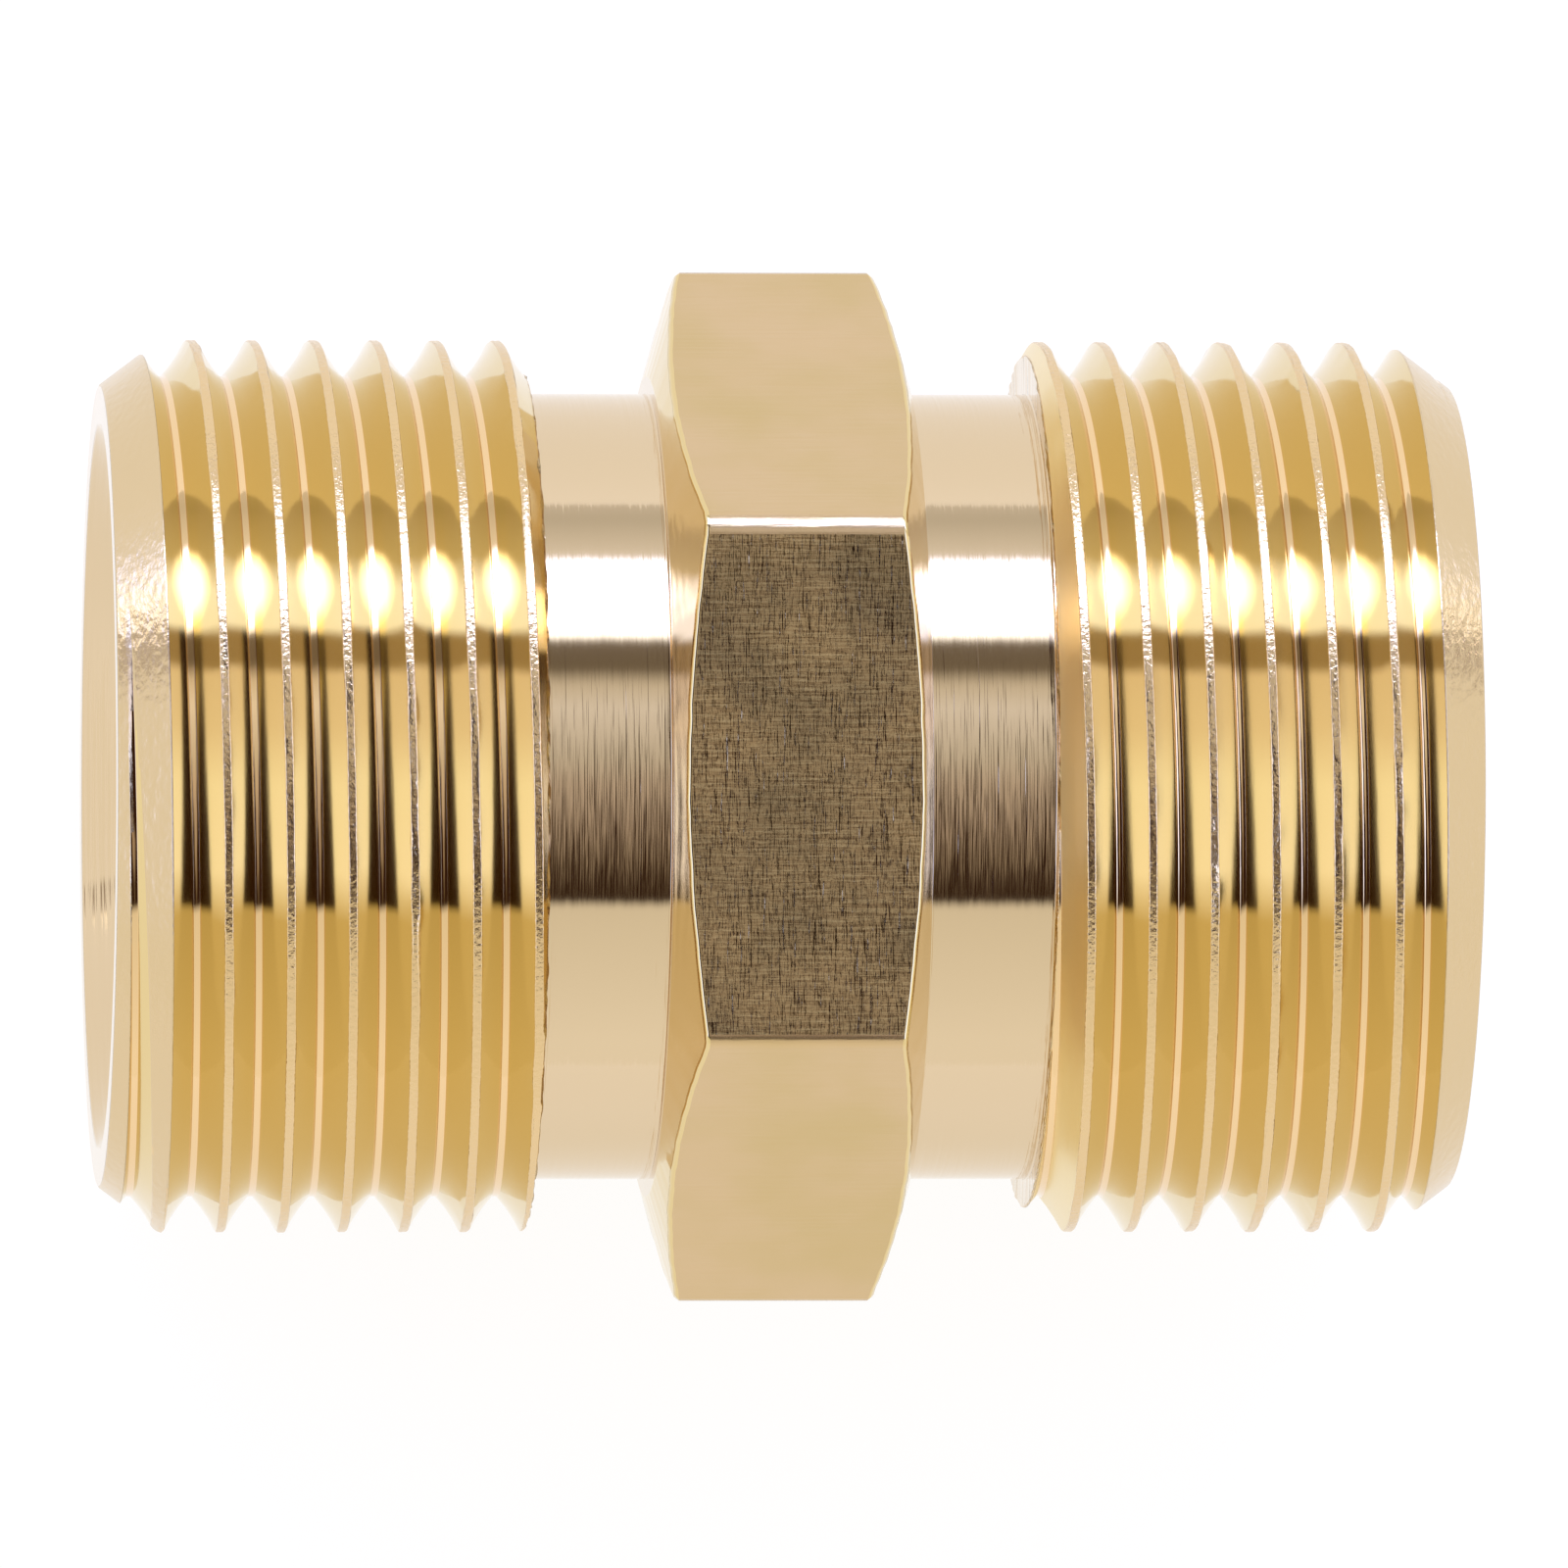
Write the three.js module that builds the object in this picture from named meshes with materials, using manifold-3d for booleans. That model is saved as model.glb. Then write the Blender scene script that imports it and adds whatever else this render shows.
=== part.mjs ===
// Hex nipple: a pipe fitting turned and threaded from one piece of hexagonal brass bar.
//
// The bore runs along X and the part lies on one flat of its hexagon, with Z up. The origin is
// the middle of the part, on the bore's axis. All lengths are in millimetres, angles in degrees.
// The fitting is the same at both ends, apart from where each thread starts.

import * as THREE from 'three';
import { mergeVertices } from 'three/addons/utils/BufferGeometryUtils.js';
import Module from 'manifold-3d';

const wasm = await Module();
wasm.setup();

// Overall size.
const overallLength = 33.2;

// Hexagon in the middle, for the spanner.
const hexAcrossFlats = 22;
const hexWidth = 6.3;
const hexFaceRadius = 10.1;
const hexChamferAngle = 15;

// Plain necks between the hexagon and each thread.
const neckRadius = 9.65;
const neckLength = 3.05;

// Male threads, M22 x 1.5, right-handed on both ends.
const threadRadius = 10.95;
const threadPitch = 1.5;
const threadDepth = 0.91;
const threadCrestWidth = 0.19;
const threadFlankAngle = 30;
const leftGrooveStart = -6.12;
const rightGrooveStart = 5.76;

// Ends: a flat sealing ring between an outer chamfer and the mouth of the bore.
const ringOuterRadius = 9.85;
const ringInnerRadius = 8.9;
const endChamferAngle = 37;
const boreRadius = 7;
const mouthAngle = 45;

// How finely round shapes are faceted: sides in one full turn.
const turnSides = 48;

// Points closer together than this are one point.
const weldDistance = 1e-5;

const halfLength = overallLength / 2;
const halfHex = hexWidth / 2;
const hexCornerRadius = hexAcrossFlats / 2 / Math.cos(Math.PI / 6);
const clearance = 1;

const slope = (angle) => Math.tan(THREE.MathUtils.degToRad(angle));

// A closed three.js geometry as a solid that can be joined and cut.
function toSolid(geometry) {
  const bare = geometry.clone();
  bare.deleteAttribute('normal');
  bare.deleteAttribute('uv');
  const merged = mergeVertices(bare, weldDistance);
  return new wasm.Manifold(new wasm.Mesh({
    numProp: 3,
    vertProperties: new Float32Array(merged.attributes.position.array),
    triVerts: new Uint32Array(merged.index.array),
  }));
}

// A solid as a three.js geometry.
function toGeometry(solid) {
  const mesh = solid.getMesh();
  const geometry = new THREE.BufferGeometry();
  geometry.setAttribute('position', new THREE.BufferAttribute(mesh.vertProperties, 3));
  geometry.setIndex(new THREE.BufferAttribute(mesh.triVerts, 1));
  geometry.computeVertexNormals();
  return geometry;
}

// Turns a profile of [x, radius] points about the X axis. The points run towards +X.
function turned(profile) {
  const points = profile.map(([x, radius]) => new THREE.Vector2(radius, x));
  const geometry = new THREE.LatheGeometry(points, turnSides);
  geometry.rotateZ(-Math.PI / 2);
  return toSolid(geometry);
}

// A profile for one half of a symmetrical turned shape, given from the middle outwards.
function bothEnds(half) {
  const left = half.map(([x, radius]) => [-x, radius]).reverse();
  return [...left, ...half];
}

// The turned bar: necks, threads at their outer diameter, and the outer end chamfers.
function turnedBar() {
  const shoulder = halfHex + neckLength;
  const chamferLength = (threadRadius - ringOuterRadius) / slope(endChamferAngle);
  return turned(bothEnds([
    [shoulder, neckRadius],
    [shoulder, threadRadius],
    [halfLength - chamferLength, threadRadius],
    [halfLength, ringOuterRadius],
    [halfLength, 0],
  ]));
}

// The hexagon, with flats facing up and down, chamfered on both sides by a shallow cone.
function hexagon() {
  const outline = new THREE.Shape();
  for (let corner = 0; corner < 6; corner += 1) {
    const angle = corner * Math.PI / 3;
    const x = hexCornerRadius * Math.sin(angle);
    const y = hexCornerRadius * Math.cos(angle);
    if (corner === 0) outline.moveTo(x, y);
    else outline.lineTo(x, y);
  }
  const depth = hexWidth + 2 * clearance;
  const prism = new THREE.ExtrudeGeometry(outline, { depth, bevelEnabled: false });
  prism.translate(0, 0, -depth / 2);
  prism.rotateY(Math.PI / 2);

  const rimRadius = hexCornerRadius + clearance;
  const chamferLength = (rimRadius - hexFaceRadius) * slope(hexChamferAngle);
  const cones = turned(bothEnds([
    [halfHex - chamferLength, rimRadius],
    [halfHex, hexFaceRadius],
    [halfHex, 0],
  ]));
  return toSolid(prism).intersect(cones);
}

// The through bore, opening out in a cone at each end.
function bore() {
  const mouthLength = (ringInnerRadius - boreRadius) / slope(mouthAngle);
  const outside = halfLength + clearance;
  const outsideRadius = ringInnerRadius + clearance * slope(mouthAngle);
  return turned(bothEnds([
    [halfLength - mouthLength, boreRadius],
    [outside, outsideRadius],
    [outside, 0],
  ]));
}

// The V-shaped groove of one thread: a section swept along a right-handed helix. The groove's
// middle passes the +Y side at grooveStart and moves towards +X as it turns from +Y to +Z.
function threadGroove(grooveStart, fromX, toX) {
  const overcut = 0.1;
  const rootRadius = threadRadius - threadDepth;
  const topWidth = threadPitch - threadCrestWidth;
  const rootHalf = topWidth / 2 - threadDepth * slope(threadFlankAngle);
  const topHalf = topWidth / 2 + overcut * slope(threadFlankAngle);
  const section = [
    [-rootHalf, rootRadius],
    [rootHalf, rootRadius],
    [topHalf, threadRadius + overcut],
    [-topHalf, threadRadius + overcut],
  ];
  const firstStep = Math.floor((fromX - grooveStart) / threadPitch * turnSides);
  const lastStep = Math.ceil((toX - grooveStart) / threadPitch * turnSides);

  const positions = [];
  for (let step = firstStep; step <= lastStep; step += 1) {
    const turns = step / turnSides;
    const angle = turns * 2 * Math.PI;
    for (const [offset, radius] of section) {
      positions.push(grooveStart + turns * threadPitch + offset);
      positions.push(radius * Math.cos(angle), radius * Math.sin(angle));
    }
  }

  const sides = section.length;
  const steps = lastStep - firstStep;
  const indices = [];
  for (let step = 0; step < steps; step += 1) {
    for (let side = 0; side < sides; side += 1) {
      const a = step * sides + side;
      const b = step * sides + (side + 1) % sides;
      indices.push(a, b, b + sides, a, b + sides, a + sides);
    }
  }
  const last = steps * sides;
  indices.push(0, 2, 1, 0, 3, 2);
  indices.push(last, last + 1, last + 2, last, last + 2, last + 3);

  const geometry = new THREE.BufferGeometry();
  geometry.setAttribute('position', new THREE.Float32BufferAttribute(positions, 3));
  geometry.setIndex(indices);
  return toSolid(geometry);
}

// The groove starts and ends in the open: over the neck, and beyond the end of the part.
const overNeck = halfHex + neckLength - clearance;
const beyondEnd = halfLength + clearance;

const body = turnedBar()
  .add(hexagon())
  .subtract(bore())
  .subtract(threadGroove(leftGrooveStart, -beyondEnd, -overNeck))
  .subtract(threadGroove(rightGrooveStart, overNeck, beyondEnd));

const brass = new THREE.MeshStandardMaterial({
  color: 0xd9b872,
  roughness: 0.25,
  metalness: 1,
});

const nippleBody = new THREE.Mesh(toGeometry(body), brass);
nippleBody.name = 'nipple_body';

const group = new THREE.Group();
group.add(nippleBody);

export default group;
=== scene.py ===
# The looks of a brass hex nipple: one fine closed skin for the whole fitting, its brass, and
# the studio round it. Lengths of the fitting are in millimetres here, like its drawing, and
# turn into metres where the mesh is made. Angles round the bore start at +Y, towards +Z.

import math

import bpy
import numpy as np
from mathutils import Matrix, Vector


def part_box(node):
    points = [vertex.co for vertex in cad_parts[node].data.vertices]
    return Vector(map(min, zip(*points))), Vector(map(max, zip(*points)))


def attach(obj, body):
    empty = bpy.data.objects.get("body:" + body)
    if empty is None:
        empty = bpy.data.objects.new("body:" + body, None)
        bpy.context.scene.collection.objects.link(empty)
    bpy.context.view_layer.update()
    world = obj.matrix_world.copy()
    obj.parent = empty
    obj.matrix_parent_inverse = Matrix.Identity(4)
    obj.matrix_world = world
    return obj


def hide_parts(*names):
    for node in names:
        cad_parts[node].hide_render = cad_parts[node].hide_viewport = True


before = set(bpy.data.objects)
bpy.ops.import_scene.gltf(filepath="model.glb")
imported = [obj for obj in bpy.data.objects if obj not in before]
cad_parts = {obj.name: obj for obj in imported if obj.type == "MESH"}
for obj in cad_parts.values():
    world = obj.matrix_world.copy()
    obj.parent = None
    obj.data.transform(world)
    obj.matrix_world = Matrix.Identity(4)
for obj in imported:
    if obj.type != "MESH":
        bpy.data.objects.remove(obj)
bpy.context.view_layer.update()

MM = 0.001

# Sizes that the frame gives.
_, BODY_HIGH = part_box("nipple_body")
END_X = BODY_HIGH.x / MM
HEX_CORNER = BODY_HIGH.y / MM
HEX_FLAT = BODY_HIGH.z / MM

# Hexagon and necks.
HEX_SIDE_X = 3.15
HEX_FACE_R = 10.1
HEX_CHAMFER = math.radians(16)
# How wide each corner's rounding is, from the +Y corner towards +Z, and how broad the edge is
# between each flat and the chamfer beside it.
HEX_CORNER_ROUNDS = (0.4, 0.68, 0.4, 0.4, 0.4, 0.4)
HEX_EDGE = 0.1
NECK_R = 9.65
NECK_FILLET = 0.05
SHOULDER_X = 6.2

# Threads.
MAJOR_R = 10.95
PITCH = 1.5
DEPTH = 0.87
CREST_HALF = 0.1
FLOOR_HALF = 0.085
LEFT_FLANK_HOLLOW = 0.04
RIGHT_FLANK_HOLLOW = 0.031
LEFT_FLOOR_DIP = 0.007
RIGHT_FLOOR_DIP = 0.018
LEFT_CREST_X = -6.88
RIGHT_CREST_X = 6.51

# Ends.
RING_OUTER_R = 9.85
RING_INNER_R = 8.9
END_CHAMFER = math.radians(37)
BORE_R = 7.0

# Broken edges, and how far raggedness, burrs and nicks move the edges of the threads and hexagon.
EDGE = 0.03
RAGGED = 0.014
BURR = 0.02
NICK = 0.008

# Colours of the brass in each finish, and of the stains on the hexagon. The top flat's brass and stains
# are darker than the other flats': painted shade on the flat that faces up.
BRASS = (0.72, 0.56, 0.35)
DEEP_BRASS = (0.755, 0.585, 0.275)
ROOT_BRASS = (0.85, 0.6, 0.31)
DRAWN_BRASS = (0.66, 0.475, 0.255)
# Painted shade: the top flat's brass, darker than the other flats'.
SCUFFED_SHADED_BRASS = (0.5, 0.365, 0.185)
CREST_BRASS = (0.76, 0.55, 0.28)
CHAMFER_BRASS = (0.7, 0.535, 0.305)
RUN_OUT_BRASS = (0.88, 0.73, 0.43)
DRAWN_STAIN = (0.61, 0.445, 0.2)
# Painted shade: the top flat's stains, darker than the other flats' stains.
SHADED_TOP_STAIN = (0.33, 0.25, 0.135)

# Colours of the light from each part of the studio.
SOFT_LIGHT = (1.04, 1.03, 1.03)
STRIP_LIGHT = (2.4, 2.6, 3.2)
COOL_STRIP_LIGHT = (1.8, 2.3, 5.0)
SPOT_LIGHT = (8.0, 9.5, 18.0)
END_LIGHT = (2.3, 2.2, 2.1)
GAP = (0.035, 0.015, 0.006)
DARK_EDGE = (0.36, 0.30, 0.26)
DIM_EDGE = (0.55, 0.5, 0.55)
HIGH_LIGHT = (0.95, 0.98, 1.12)
DIM_LIGHT = (0.7, 0.68, 0.74)

# Where the parts of the studio lie. Along is in degrees from straight up towards +X. Lean is twice
# the angle by which a mirror that turns about X leans towards +Y to send the light straight up.
# Skew is how far a degree of lean moves a light's limits, and limits are where one light has begun
# and ended its change to the next.
PATCH_ALONG = 4.3
PATCH_SKEW = -0.2
PATCH_LIMITS = (5, 10)
GAP_ALONG = -3.5
GAP_SKEW = 0.1
GAP_LIMITS = (27.5, 30)
SIDE_LIMITS = (50, 60)
SPOT_LEAN = 57.5
SPOT_LEAN_REACH = 14
SPOT_ALONG_REACH = 36

# The skin's rows round the axis, a whole number to each side of the hexagon.
ROWS = 408
TURN = 2 * math.pi
ANGLES = np.arange(ROWS) * TURN / ROWS
BOTH, LEFT, RIGHT = 0, -1, 1
# The top flat has scuff bumps and a darker brass that is painted shade.
TURNED, ROOT, FLANKS, CREST, CHAMFER, FLATS, SCUFFED_SHADED_TOP, BORE, RUN_OUT = range(9)


def soft_noise(rng, count, width):
    """Random numbers of spread 1 on a closed loop, smoothed over a number of neighbours."""
    raw = rng.standard_normal(count)
    reach = np.arange(-3 * width, 3 * width + 1)
    weights = np.exp(-0.5 * (reach / width) ** 2)
    smooth = sum(w * np.roll(raw, k) for w, k in zip(weights, reach))
    return smooth / np.std(smooth)


class Skin:
    """Columns of points from left to right along the outside of the fitting. Each column goes once
    round the axis. The last column joins the first through the bore, so the skin is closed."""

    def __init__(self):
        self.x, self.r, self.t = [], [], []
        self.side, self.zone = [], []
        self.held = []
        self.row_side = []

    def column(self, x, r, side=BOTH, zone=TURNED, t=None, held=None, row_side=None):
        """Adds a column. side says which neighbouring strip gives its normals, and zone names the
        finish of the strip to its right, for all rows or row by row. held marks rows that stay on
        a thread block's edge."""
        ones = np.ones(ROWS)
        self.x.append(x * ones)
        self.r.append(r * ones)
        self.t.append(ANGLES if t is None else t)
        self.side.append(side)
        self.zone.append(zone * ones)
        self.held.append(held)
        self.row_side.append(np.zeros(ROWS, int) if row_side is None else row_side)
        return len(self.x) - 1


def cone_radius(x):
    """The radius of the end chamfer's cone."""
    return RING_OUTER_R + (END_X - np.abs(x)) * math.tan(END_CHAMFER)


def crest_points(crest_x, hollow, dip, ragged):
    """One pitch of thread round one turn, from the middle of the groove on the left of a crest to
    just short of the next one: (x, radius, normals' side, finish of the strip to the right)."""
    floor_r = MAJOR_R - DEPTH
    foot_r = floor_r + EDGE
    foot = PITCH / 2 - FLOOR_HALF
    run = foot - CREST_HALF
    rise = MAJOR_R - foot_r
    slant = math.hypot(run, rise)
    uncut = {}
    for sign in (-1, 1):
        # Where the end chamfer has cut the crest away, the flank stops at the chamfer's cone.
        cone_slope = -np.sign(crest_x) * math.tan(END_CHAMFER)
        room = cone_radius(crest_x + sign * foot) - foot_r
        uncut[sign] = np.clip(room / (rise + sign * cone_slope * run), 0, 1)

    def flank(sign, share):
        """A point on a hollow flank, at a share of the way from its foot to its top."""
        way = uncut[sign] * share
        inward = hollow * 4 * way * (1 - way)
        across = foot - run * way - inward * rise / slant
        return crest_x + sign * across, foot_r + rise * way - inward * run / slant

    left, _ = flank(-1, 1)
    right, _ = flank(1, 1)
    inset = np.minimum(EDGE, (right - left) / 3)
    top = 1 - EDGE / rise
    crest_r = np.full(ROWS, MAJOR_R)
    floor_end = foot + EDGE / 2
    points = [
        (crest_x - PITCH / 2, crest_r - DEPTH - dip, BOTH, ROOT),
        (crest_x - floor_end, crest_r - DEPTH, LEFT, ROOT),
        (*flank(-1, 0), RIGHT, FLANKS),
        (*flank(-1, 0.3), BOTH, FLANKS),
        (*flank(-1, 0.65), BOTH, FLANKS),
        (*flank(-1, top), LEFT, CREST),
        (left + inset, crest_r, RIGHT, CREST),
        ((left + right) / 2, crest_r, BOTH, CREST),
        (right - inset, crest_r, LEFT, CREST),
        (*flank(1, top), RIGHT, FLANKS),
        (*flank(1, 0.65), BOTH, FLANKS),
        (*flank(1, 0.3), BOTH, FLANKS),
        (*flank(1, 0), LEFT, ROOT),
        (crest_x + floor_end, crest_r - DEPTH, RIGHT, ROOT),
    ]
    whole = np.clip(3 * np.minimum(uncut[-1], uncut[1]) - 1, 0, 1)
    first_ragged = 5
    for k, (dx, dr) in enumerate(ragged, first_ragged):
        x, r, side, zone = points[k]
        points[k] = (x + whole * dx, r + whole * dr, side, zone)
    return [(x, np.minimum(r, cone_radius(x)), side, zone) for x, r, side, zone in points]


def add_thread(skin, first_x, last_x, crest_at_y, hollow, dip, seed):
    """Adds one thread from first_x to last_x, with a crest at crest_at_y on the +Y side. Its columns
    follow the helix, so each turn's columns go on in the next turn's."""
    rng = np.random.default_rng(seed)
    start = crest_at_y - PITCH * math.ceil((crest_at_y + PITCH / 2 - first_x) / PITCH)
    pitches = math.ceil((last_x - start + PITCH / 2) / PITCH)
    length = pitches * ROWS
    rough = 0.35 + np.clip(soft_noise(rng, length, 10), 0, None)
    ragged = np.array([[soft_noise(rng, length, 2) for _ in "xr"] for _ in range(5)])
    ragged = RAGGED * np.tanh(0.7 * rough * ragged)

    turns = []
    for pitch in range(pitches):
        rows = slice(pitch * ROWS, (pitch + 1) * ROWS)
        crest_x = start + pitch * PITCH + PITCH * ANGLES / TURN
        turns.append(crest_points(crest_x, hollow, dip, ragged[:, :, rows]))
    profile = [point for turn in turns for point in turn]
    all_x = np.array([x for x, _, _, _ in profile])
    all_r = np.array([r for _, r, _, _ in profile])

    def surface(x):
        return np.array([np.interp(x, all_x[:, row], all_r[:, row]) for row in range(ROWS)])

    # The cutter leaves a burr where the thread runs out at the neck.
    near = 0.004
    burr = BURR * np.clip(np.stack([soft_noise(rng, ROWS, 1) for _ in "xr"]), -2, 2)
    first_r, last_r = surface(first_x), surface(last_x)
    if first_x > 0:
        burr_x = first_x - EDGE - np.abs(burr[0])
        skin.column(burr_x, first_r - EDGE + burr[1], side=LEFT, zone=CREST)
    skin.column(first_x, first_r, side=RIGHT, zone=FLANKS if first_x < 0 else RUN_OUT)
    # The right thread's first flank has a rougher finish than the rest.
    crest_x = start + PITCH * ANGLES / TURN
    first_crest = crest_x + PITCH * np.ceil((first_x + CREST_HALF - crest_x) / PITCH)
    for x, r, side, zone in profile:
        by_neck = (first_x > 0) & (x < first_crest)
        zone = np.where(by_neck & (zone == FLANKS), RUN_OUT, zone)
        held = np.where(x <= first_x + near, -1, np.where(x >= last_x - near, 1, 0))
        skin.column(x, r, side=side, zone=zone, held=(held, len(turns[0])))
    if last_x < 0:
        skin.column(last_x, last_r, side=LEFT, zone=CREST)
        burr_x = last_x + EDGE + np.abs(burr[0])
        skin.column(burr_x, last_r - EDGE + burr[1], side=RIGHT)
    else:
        skin.column(last_x, last_r, side=LEFT)


def hexagon_rows():
    """The hexagon's rows: their angles, drawn in to its rounded corners, their radii, and which way
    round the normals of each row come from."""
    per_side = ROWS // 6
    corners = range(0, ROWS, per_side)
    angles = ANGLES.copy()
    row_side = np.zeros(ROWS, int)
    for corner, width in zip(corners, HEX_CORNER_ROUNDS):
        for way in (-1, 1):
            row = (corner + way) % ROWS
            angles[row] = ANGLES[corner] + way * width / 2 / HEX_CORNER
            row_side[row] = way
    to_corner = np.abs((angles + TURN / 12) % (TURN / 6) - TURN / 12)
    radius = HEX_FLAT / np.cos(TURN / 12 - to_corner)
    radius[::per_side] -= np.array(HEX_CORNER_ROUNDS) * (1 / math.cos(TURN / 12) - 1)
    return angles, radius, row_side


def add_hexagon(skin):
    """Adds the hexagon and its two sides, each a flat ring inside a shallow cone. Small nicks run
    along the edge where each flat meets its chamfers."""
    angles, radius, row_side = hexagon_rows()
    rng = np.random.default_rng(5)
    nicks = NICK * np.clip(soft_noise(rng, ROWS, 1), -2, 2)
    crease = HEX_SIDE_X - (radius - HEX_FACE_R) * math.tan(HEX_CHAMFER) + nicks
    half = [
        (HEX_SIDE_X, HEX_FACE_R - EDGE, ANGLES, None),
        (HEX_SIDE_X - EDGE * math.tan(HEX_CHAMFER), HEX_FACE_R + EDGE, ANGLES, None),
        (crease + HEX_EDGE * math.tan(HEX_CHAMFER), radius - HEX_EDGE, angles, row_side),
        (crease - HEX_EDGE, radius, angles, row_side),
    ]
    for sign, order in ((-1, half), (1, half[::-1])):
        for k, (x, r, t, rows) in enumerate(order):
            zone = FLATS if sign < 0 and k == len(half) - 1 else FLANKS
            skin.column(sign * x, r, side=(LEFT, RIGHT)[k % 2], zone=zone, t=t, row_side=rows)


def add_neck(skin, sign):
    """Adds the neck on one side of the hexagon, from left to right, with a fillet at each end."""
    part_way = NECK_FILLET * (1 - math.sqrt(0.5))
    points = [
        (HEX_SIDE_X, NECK_R + NECK_FILLET, BOTH),
        (HEX_SIDE_X + part_way, NECK_R + part_way, BOTH),
        (HEX_SIDE_X + NECK_FILLET, NECK_R, RIGHT),
        (SHOULDER_X - NECK_FILLET, NECK_R, LEFT),
        (SHOULDER_X - part_way, NECK_R + part_way, BOTH),
        (SHOULDER_X, NECK_R + NECK_FILLET, BOTH),
    ]
    for x, r, side in points[::sign]:
        skin.column(sign * x, r, side=side * sign)


def add_end(skin, sign):
    """Adds one end: the edge of the bore, its mouth and the flat ring."""
    mouth_x = END_X - (RING_INNER_R - BORE_R)
    points = [
        (mouth_x - EDGE, BORE_R, LEFT),
        (mouth_x + EDGE, BORE_R + EDGE, RIGHT),
        (END_X - EDGE, RING_INNER_R - EDGE, LEFT),
        (END_X, RING_INNER_R + EDGE, RIGHT),
        (END_X, RING_OUTER_R - EDGE, LEFT),
    ]
    for x, r, side in points[::-sign]:
        into_bore = sign > 0 and r == BORE_R
        skin.column(sign * x, r, side=-side * sign, zone=BORE if into_bore else TURNED)


def build_skin():
    """The whole fitting, from the left end to the right end."""
    skin = Skin()
    add_end(skin, -1)
    add_thread(
        skin, -END_X + EDGE, -SHOULDER_X - EDGE, LEFT_CREST_X,
        hollow=LEFT_FLANK_HOLLOW, dip=LEFT_FLOOR_DIP, seed=11,
    )
    add_neck(skin, -1)
    add_hexagon(skin)
    add_neck(skin, 1)
    add_thread(
        skin, SHOULDER_X + EDGE, END_X - EDGE, RIGHT_CREST_X,
        hollow=RIGHT_FLANK_HOLLOW, dip=RIGHT_FLOOR_DIP, seed=23,
    )
    add_end(skin, 1)
    return skin


def number_points(skin):
    """Gives each distinct point a number. Returns the grid of numbers, with one more row that closes
    the turn, each point's place in the grid, and the sides that its normals come from."""
    columns = len(skin.x)
    ids = np.empty((ROWS + 1, columns), int)
    side = np.empty((ROWS + 1, columns), int)
    row_side = np.zeros((ROWS + 1, columns), int)
    place_row, place_column = [], []
    count = 0
    edges = [k for k in range(columns) if skin.held[k] is None]
    for k in range(columns):
        side[:, k] = skin.side[k]
        row_side[:ROWS, k] = skin.row_side[k]
        row_side[ROWS, k] = skin.row_side[k][0]
        new = np.ones(ROWS, bool) if skin.held[k] is None else skin.held[k][0] == 0
        ids[:ROWS, k][new] = count + np.arange(new.sum())
        place_row.extend(np.nonzero(new)[0])
        place_column.extend([k] * int(new.sum()))
        count += int(new.sum())
        ids[ROWS, k] = ids[0, k]
    for k in range(columns):
        if skin.held[k] is None:
            continue
        held, step = skin.held[k]
        first = max(e for e in edges if e < k)
        last = min(e for e in edges if e > k)
        for value, edge in ((-1, first), (1, last)):
            rows = held == value
            ids[:ROWS, k][rows] = ids[:ROWS, edge][rows]
            side[:ROWS, k][rows] = skin.side[edge]
    for k in range(columns):
        if skin.held[k] is None:
            continue
        last = min(e for e in edges if e > k)
        onward = min(k + skin.held[k][1], last)
        ids[ROWS, k] = ids[0, onward]
        side[ROWS, k] = side[0, onward]
    return ids, side, row_side, np.array(place_row), np.array(place_column)


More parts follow.
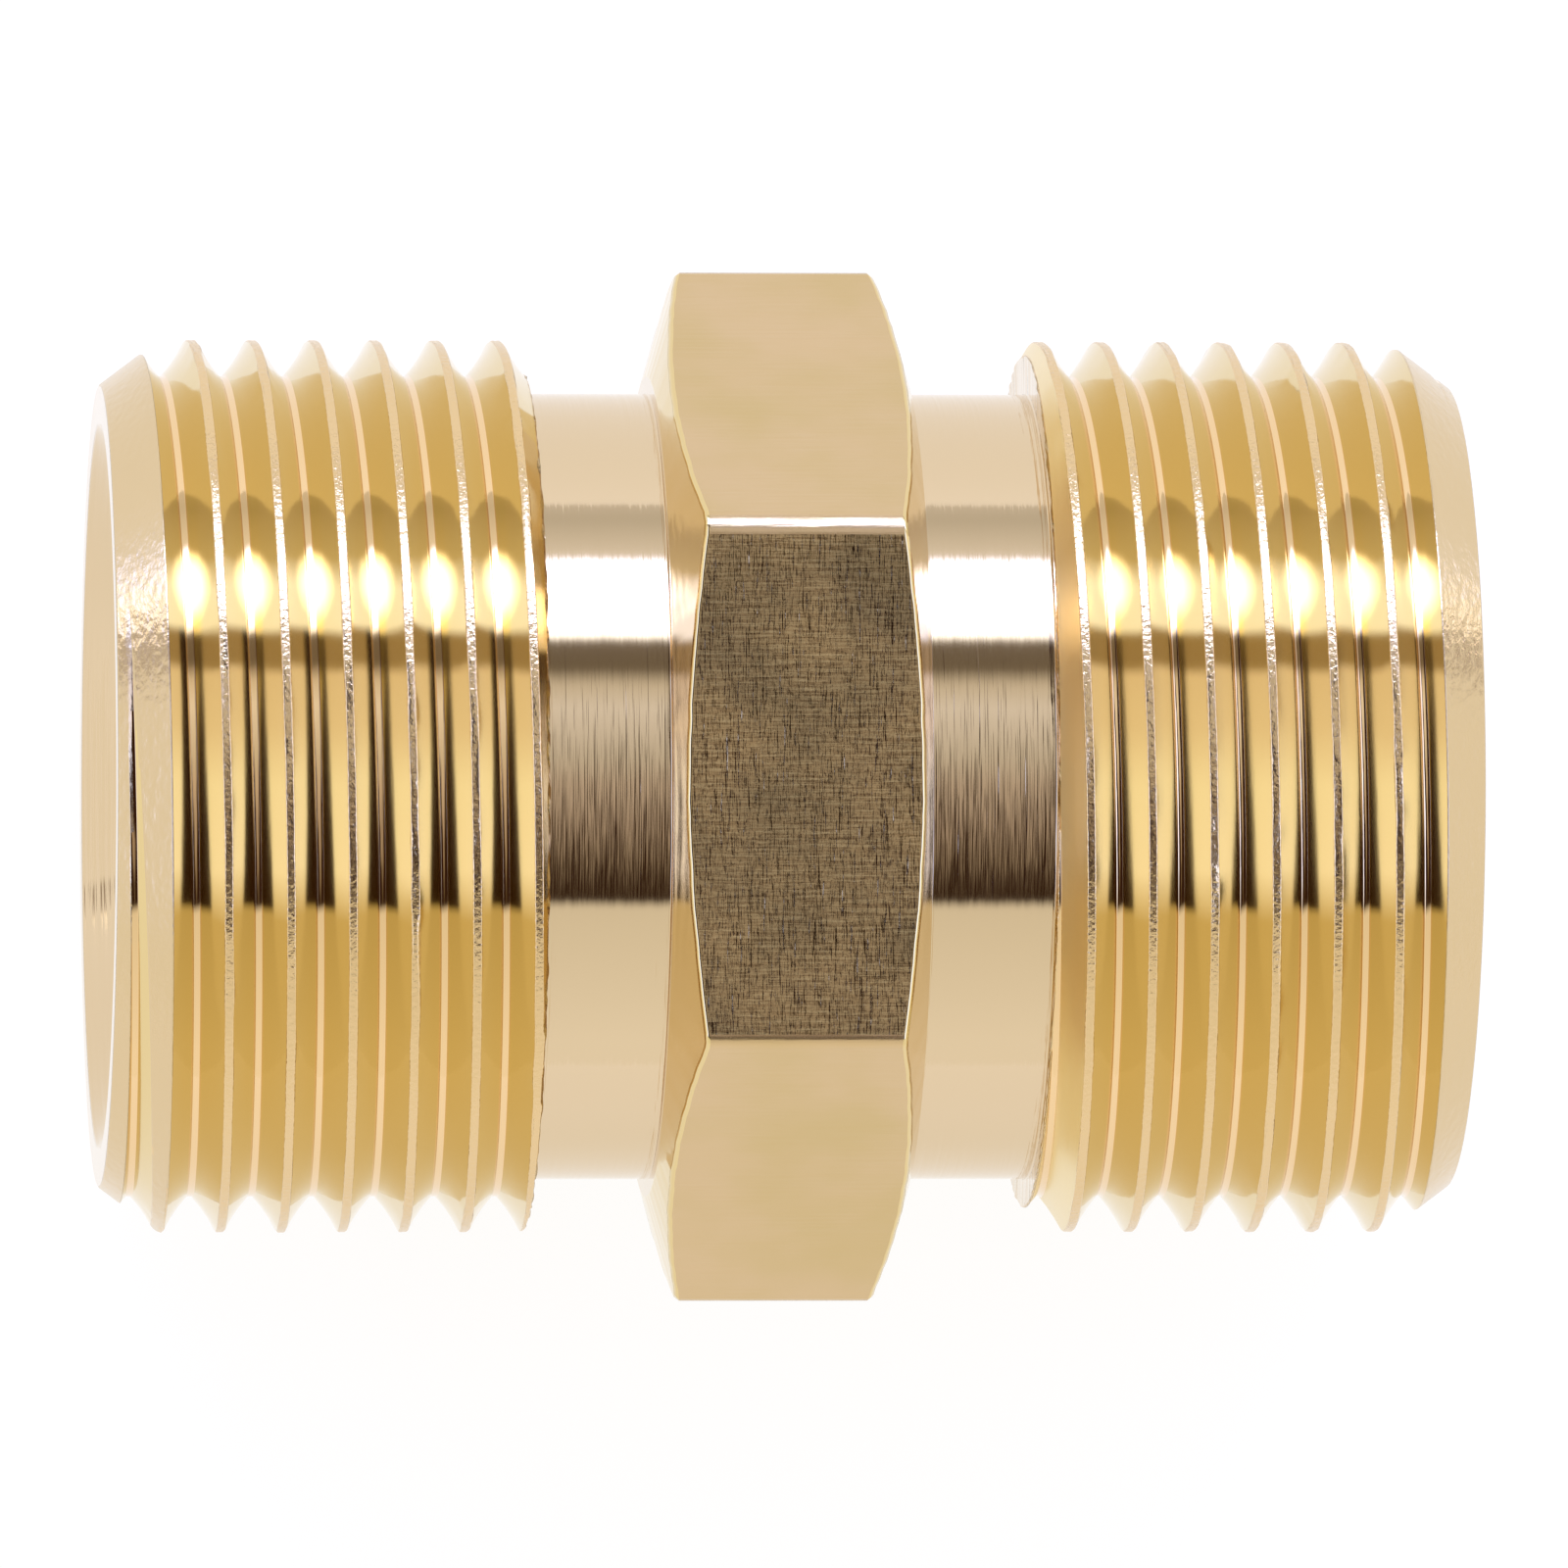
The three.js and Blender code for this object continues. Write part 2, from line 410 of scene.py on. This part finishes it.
def skin_mesh(name, skin):
    """Turns the skin into a mesh with clean normals beside every broken edge."""
    ids, side, row_side, rows, cols = number_points(skin)
    x = np.array(skin.x)[cols, rows]
    r = np.array(skin.r)[cols, rows]
    t = np.array(skin.t)[cols, rows]
    points = np.stack([x, r * np.cos(t), r * np.sin(t)], axis=1) * MM
    # Points that meet, where the end chamfer cuts a flank away, become one.
    metres_digits = 8
    points, kept = np.unique(np.round(points, metres_digits), axis=0, return_inverse=True)
    ids = kept.reshape(-1)[ids]

    columns = len(skin.x)
    row, col = np.meshgrid(np.arange(ROWS), np.arange(columns), indexing="ij")
    row, col = row.ravel(), col.ravel()
    right = (col + 1) % columns
    corners = [(row, col), (row + 1, col), (row + 1, right), (row, right)]
    quads = np.stack([ids[a, b] for a, b in corners], axis=1)

    # Area normals, added to each corner from the strips that it takes its normal from.
    p = points[quads]
    area = np.cross(p[:, 2] - p[:, 0], p[:, 3] - p[:, 1])
    normals = np.zeros_like(points)
    faint = 1e-4
    for k, (a, b) in enumerate(corners):
        strip_side = RIGHT if k in (0, 1) else LEFT
        turn_side = 1 if k in (0, 3) else -1
        weight = np.where((side[a, b] == BOTH) | (side[a, b] == strip_side), 1.0, faint)
        weight *= np.where((row_side[a, b] == 0) | (row_side[a, b] == turn_side), 1.0, faint)
        np.add.at(normals, quads[:, k], area * weight[:, None])
    normals /= np.maximum(np.linalg.norm(normals, axis=1), 1e-30)[:, None]

    zones = np.array(skin.zone, int)[col, row]
    middle = p.mean(axis=1) / MM
    cone = cone_radius(middle[:, 0])
    on_cone = (cone < MAJOR_R) & (np.hypot(middle[:, 1], middle[:, 2]) > cone - EDGE)
    zones = np.where(on_cone & (zones != BORE), CHAMFER, zones)
    # The flat that faces up gets the darker brass: painted shade.
    level = 0.001
    on_top = middle[:, 2] > HEX_FLAT - level
    zones = np.where(on_top & (zones == FLATS), SCUFFED_SHADED_TOP, zones)

    faces, kinds = [], []
    for quad, zone in zip(quads.tolist(), zones.tolist()):
        face = [v for k, v in enumerate(quad) if v != quad[k - 1]]
        if len(set(face)) >= 3 and len(set(face)) == len(face):
            faces.append(face)
            kinds.append(zone)

    mesh = bpy.data.meshes.new(name)
    mesh.from_pydata(points.tolist(), [], faces)
    mesh.polygons.foreach_set("material_index", kinds)
    mesh.polygons.foreach_set("use_smooth", [True] * len(faces))
    mesh.validate()
    mesh.normals_split_custom_set_from_vertices(normals.tolist())
    mesh.update()
    return mesh


def linked(tree, kind, **values):
    """Makes a shader node and sets or links its inputs by name."""
    node = tree.nodes.new(kind)
    for name, value in values.items():
        socket = node.inputs[name.replace("_", " ")]
        if isinstance(value, bpy.types.NodeSocket):
            tree.links.new(value, socket)
        else:
            socket.default_value = value
    return node


def maths(tree, operation, *values):
    """One maths node. Each value is a number or another node's output."""
    node = tree.nodes.new("ShaderNodeMath")
    node.operation = operation
    for socket, value in zip(node.inputs, values):
        if isinstance(value, bpy.types.NodeSocket):
            tree.links.new(value, socket)
        else:
            socket.default_value = value
    return node.outputs[0]


def stretched_noise(tree, scale):
    """Noise over the object's own coordinates, scale times per metre along X, Y and Z."""
    place = tree.nodes.new("ShaderNodeTexCoord").outputs["Object"]
    stretched = linked(tree, "ShaderNodeMapping", Vector=place, Scale=scale).outputs[0]
    noise = linked(tree, "ShaderNodeTexNoise", Vector=stretched, Scale=1.0, Detail=3.0)
    return noise.outputs["Fac"]


def brass(name, colour, roughness, anisotropic, marks, stain=None):
    """Brass whose tool marks run round the axis. marks are the sizes of its bumps: pairs of noise
    scales per metre along each axis and depth in millimetres. stain is the colour of its stains, and
    how many there are to a metre."""
    material = bpy.data.materials.new(name)
    material.use_nodes = True
    tree = material.node_tree
    shader = tree.nodes["Principled BSDF"]
    shader.inputs["Base Color"].default_value = (*colour, 1)
    if stain:
        stain_colour, stains = stain
        spread = fade(tree, stretched_noise(tree, (stains, stains, stains)), 0.35, 0.7)
        tree.links.new(blend(tree, spread, colour, stain_colour), shader.inputs["Base Color"])
    shader.inputs["Metallic"].default_value = 1
    shader.inputs["Roughness"].default_value = roughness
    shader.inputs["Anisotropic"].default_value = anisotropic
    shader.inputs["Anisotropic Rotation"].default_value = 0.25
    around = tree.nodes.new("ShaderNodeTangent")
    around.direction_type = "RADIAL"
    around.axis = "X"
    tree.links.new(around.outputs[0], shader.inputs["Tangent"])
    normal = None
    for scale, depth in marks:
        bump = linked(tree, "ShaderNodeBump", Height=stretched_noise(tree, scale), Distance=depth * MM)
        if normal:
            tree.links.new(normal, bump.inputs["Normal"])
        normal = bump.outputs[0]
    tree.links.new(normal, shader.inputs["Normal"])
    return material


def make_materials():
    """The brass of each zone, in the order of the zones."""
    return [
        brass("brass_turned", BRASS, 0.09, 0.5, [((8000, 150, 150), 0.02)]),
        brass("brass_root", ROOT_BRASS, 0.07, 0.5, [((8000, 250, 250), 0.004)]),
        brass("brass_flanks", DEEP_BRASS, 0.08, 0.8, [((5000, 400, 400), 0.0015)]),
        brass("brass_crest", CREST_BRASS, 0.2, 0.0, [((8000, 8000, 8000), 0.025)]),
        brass("brass_chamfer", CHAMFER_BRASS, 0.22, 0.5, [((6000, 3000, 3000), 0.022)]),
        brass(
            "brass_flats", DRAWN_BRASS, 0.25, 0.0,
            [((500, 9000, 9000), 0.008), ((900, 900, 900), 0.02)],
            stain=(DRAWN_STAIN, 220),
        ),
        # The top flat: its scuffs are bumps, and its darker brass and stains are painted shade.
        brass(
            "brass_scuffed_painted_shade", SCUFFED_SHADED_BRASS, 0.14, 0.0,
            [((700, 9000, 9000), 0.013), ((8000, 700, 700), 0.02), ((4000, 4000, 4000), 0.014)],
            stain=(SHADED_TOP_STAIN, 350),
        ),
        brass("brass_bore", BRASS, 0.25, 0.5, [((9000, 250, 250), 0.006)]),
        brass("brass_run_out", RUN_OUT_BRASS, 0.3, 0.0, [((6000, 500, 500), 0.006)]),
    ]


def ramp(tree, factor, stops):
    """A colour ramp with (position, colour) stops."""
    node = tree.nodes.new("ShaderNodeValToRGB")
    tree.links.new(factor, node.inputs[0])
    elements = node.color_ramp.elements
    while len(elements) < len(stops):
        elements.new(0.5)
    for element, (position, colour) in zip(elements, stops):
        element.position = position
        element.color = (*colour, 1)
    return node.outputs[0]


def blend(tree, factor, first, second):
    """Mixes two colours, each a tuple or another node's output."""
    node = tree.nodes.new("ShaderNodeMix")
    node.data_type = "RGBA"
    sockets = (node.inputs[0], node.inputs[6], node.inputs[7])
    for socket, value in zip(sockets, (factor, first, second)):
        if isinstance(value, bpy.types.NodeSocket):
            tree.links.new(value, socket)
        else:
            socket.default_value = (*value, 1)
    return node.outputs[2]


def fade(tree, value, start, end):
    """A smooth step from 0 at start to 1 at end."""
    node = linked(tree, "ShaderNodeMapRange", Value=value)
    node.interpolation_type = "SMOOTHSTEP"
    node.inputs["From Min"].default_value = start
    node.inputs["From Max"].default_value = end
    return node.outputs["Result"]


def make_world():
    """Soft studio light from all round. Overhead, where the camera stands, is a dim gap with a paler
    patch in the middle, and on its +Y side are a dark edge and a strip light."""
    world = bpy.data.worlds.new("studio")
    bpy.context.scene.world = world
    world.use_nodes = True
    tree = world.node_tree
    background = tree.nodes["Background"]
    place = tree.nodes.new("ShaderNodeTexCoord").outputs["Generated"]
    x, y, z = linked(tree, "ShaderNodeSeparateXYZ", Vector=place).outputs
    # Twice this half angle is how far a mirror that turns about X leans to send the light straight
    # up, so each light's edges run level along the whole fitting, on flat and sloping parts alike.
    half_lean = maths(tree, "ARCTAN2", y, maths(tree, "ADD", z, 1))
    lean = maths(tree, "MULTIPLY", half_lean, 360 / math.pi)
    along = maths(tree, "MULTIPLY", maths(tree, "ARCSINE", x), 180 / math.pi)
    turn_share = maths(tree, "MULTIPLY_ADD", lean, 1 / 360, 0.5)

    def leaning(*stops):
        return ramp(tree, turn_share, [(0.5 + degrees / 360, colour) for degrees, colour in stops])

    patch = leaning(
        (-80, SOFT_LIGHT), (-36, (0.89, 0.87, 0.82)), (-34, (0.15, 0.118, 0.09)),
        (-22, (0.38, 0.32, 0.27)), (-11, (0.5, 0.43, 0.4)), (0, (0.63, 0.565, 0.545)),
        (8, (0.71, 0.69, 0.69)), (22, (0.92, 0.92, 1.0)), (29, (0.77, 0.74, 0.71)),
        (34, (0.19, 0.16, 0.127)), (42, (0.2, 0.17, 0.137)), (44.5, STRIP_LIGHT), (65, STRIP_LIGHT),
        (68, (0.97, 0.96, 1.0)), (84, (0.67, 0.66, 0.66)), (96, (0.8, 0.79, 0.83)), (112, SOFT_LIGHT),
    )
    gap = leaning(
        (-80, SOFT_LIGHT), (-36, (0.89, 0.87, 0.82)), (-34, GAP), (42, GAP), (45, COOL_STRIP_LIGHT),
        (57, COOL_STRIP_LIGHT), (66, HIGH_LIGHT), (84, DIM_LIGHT), (104, HIGH_LIGHT), (125, SOFT_LIGHT),
    )
    side = leaning(
        (-38, SOFT_LIGHT), (-24, (1.7, 2.05, 3.9)), (0, (1.65, 2.0, 3.7)), (16, (1.38, 1.53, 2.6)),
        (31, (1.3, 1.4, 2.3)), (34, DIM_EDGE), (42, DIM_EDGE), (45, COOL_STRIP_LIGHT),
        (57, COOL_STRIP_LIGHT), (66, HIGH_LIGHT), (84, DIM_LIGHT), (104, HIGH_LIGHT), (125, SOFT_LIGHT),
    )
    ends = leaning(
        (31, SOFT_LIGHT), (34, DARK_EDGE), (42, DARK_EDGE), (45, END_LIGHT), (58, END_LIGHT),
        (66, HIGH_LIGHT), (84, (0.83, 0.82, 0.88)), (120, (0.93, 0.93, 1.03)), (150, SOFT_LIGHT),
    )
    off_middle = maths(tree, "ABSOLUTE", maths(tree, "SUBTRACT", along, PATCH_ALONG))
    away = maths(tree, "ABSOLUTE", along)
    # The patch is wider towards +Y, and the gap round it towards -Y.
    patch_reach = maths(tree, "MULTIPLY_ADD", lean, PATCH_SKEW, off_middle)
    gap_middle = maths(tree, "ABSOLUTE", maths(tree, "SUBTRACT", along, GAP_ALONG))
    gap_reach = maths(tree, "MULTIPLY_ADD", lean, GAP_SKEW, gap_middle)
    light = blend(tree, fade(tree, patch_reach, *PATCH_LIMITS), patch, gap)
    light = blend(tree, fade(tree, gap_reach, *GAP_LIMITS), light, side)
    light = blend(tree, fade(tree, away, *SIDE_LIMITS), light, ends)
    # The middle of the strip light is far brighter than its ends.
    spot_lean = maths(tree, "DIVIDE", maths(tree, "SUBTRACT", lean, SPOT_LEAN), SPOT_LEAN_REACH)
    spot_along = maths(tree, "DIVIDE", along, SPOT_ALONG_REACH)
    from_spot = maths(tree, "SQRT", maths(
        tree, "ADD", maths(tree, "MULTIPLY", spot_lean, spot_lean),
        maths(tree, "MULTIPLY", spot_along, spot_along),
    ))
    light = blend(tree, fade(tree, from_spot, 1, 0.35), light, SPOT_LIGHT)
    tree.links.new(light, background.inputs["Color"])


def make_floor():
    """A plain pale floor under the fitting."""
    half_side = 3.0
    hairline = 0.00002
    height = -HEX_FLAT * MM - hairline
    mesh = bpy.data.meshes.new("floor")
    corners = [(x * half_side, y * half_side, height) for x, y in ((-1, -1), (1, -1), (1, 1), (-1, 1))]
    mesh.from_pydata(corners, [], [(0, 1, 2, 3)])
    floor = bpy.data.objects.new("floor", mesh)
    bpy.context.scene.collection.objects.link(floor)
    material = bpy.data.materials.new("pale_floor")
    material.use_nodes = True
    shader = material.node_tree.nodes["Principled BSDF"]
    shader.inputs["Base Color"].default_value = (0.1, 0.1, 0.1, 1)
    shader.inputs["Roughness"].default_value = 0.9
    shader.inputs["Specular IOR Level"].default_value = 0.1
    shader.inputs["Emission Color"].default_value = (1, 0.985, 0.955, 1)
    shader.inputs["Emission Strength"].default_value = 0.935
    mesh.materials.append(material)


def make_camera():
    """A long lens overhead, a little towards the left end, with the picture's up along +Y."""
    distance = 0.616
    yaw, tilt = math.radians(4.3), math.radians(0.7)
    aim = Vector((0.27, 0.065, 0)) * MM
    back = Vector((-math.sin(yaw) * math.cos(tilt), -math.sin(tilt), math.cos(yaw) * math.cos(tilt)))
    camera_data = bpy.data.cameras.new("camera")
    camera_data.lens = 575
    camera_data.sensor_width = 36
    camera_data.clip_start = 0.01
    camera_data.clip_end = 20
    camera = bpy.data.objects.new("camera", camera_data)
    right = Vector((0, 1, 0)).cross(back).normalized()
    up = back.cross(right)
    turn = Matrix((right, up, back)).transposed().to_4x4()
    camera.matrix_world = Matrix.Translation(aim + back * distance) @ turn
    bpy.context.scene.collection.objects.link(camera)
    bpy.context.scene.camera = camera


mesh = skin_mesh("nipple", build_skin())
for material in make_materials():
    mesh.materials.append(material)
nipple = bpy.data.objects.new("nipple", mesh)
bpy.context.scene.collection.objects.link(nipple)
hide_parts("nipple_body")
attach(nipple, "root")

make_world()
make_floor()
make_camera()
bpy.context.scene.view_settings.view_transform = "Standard"
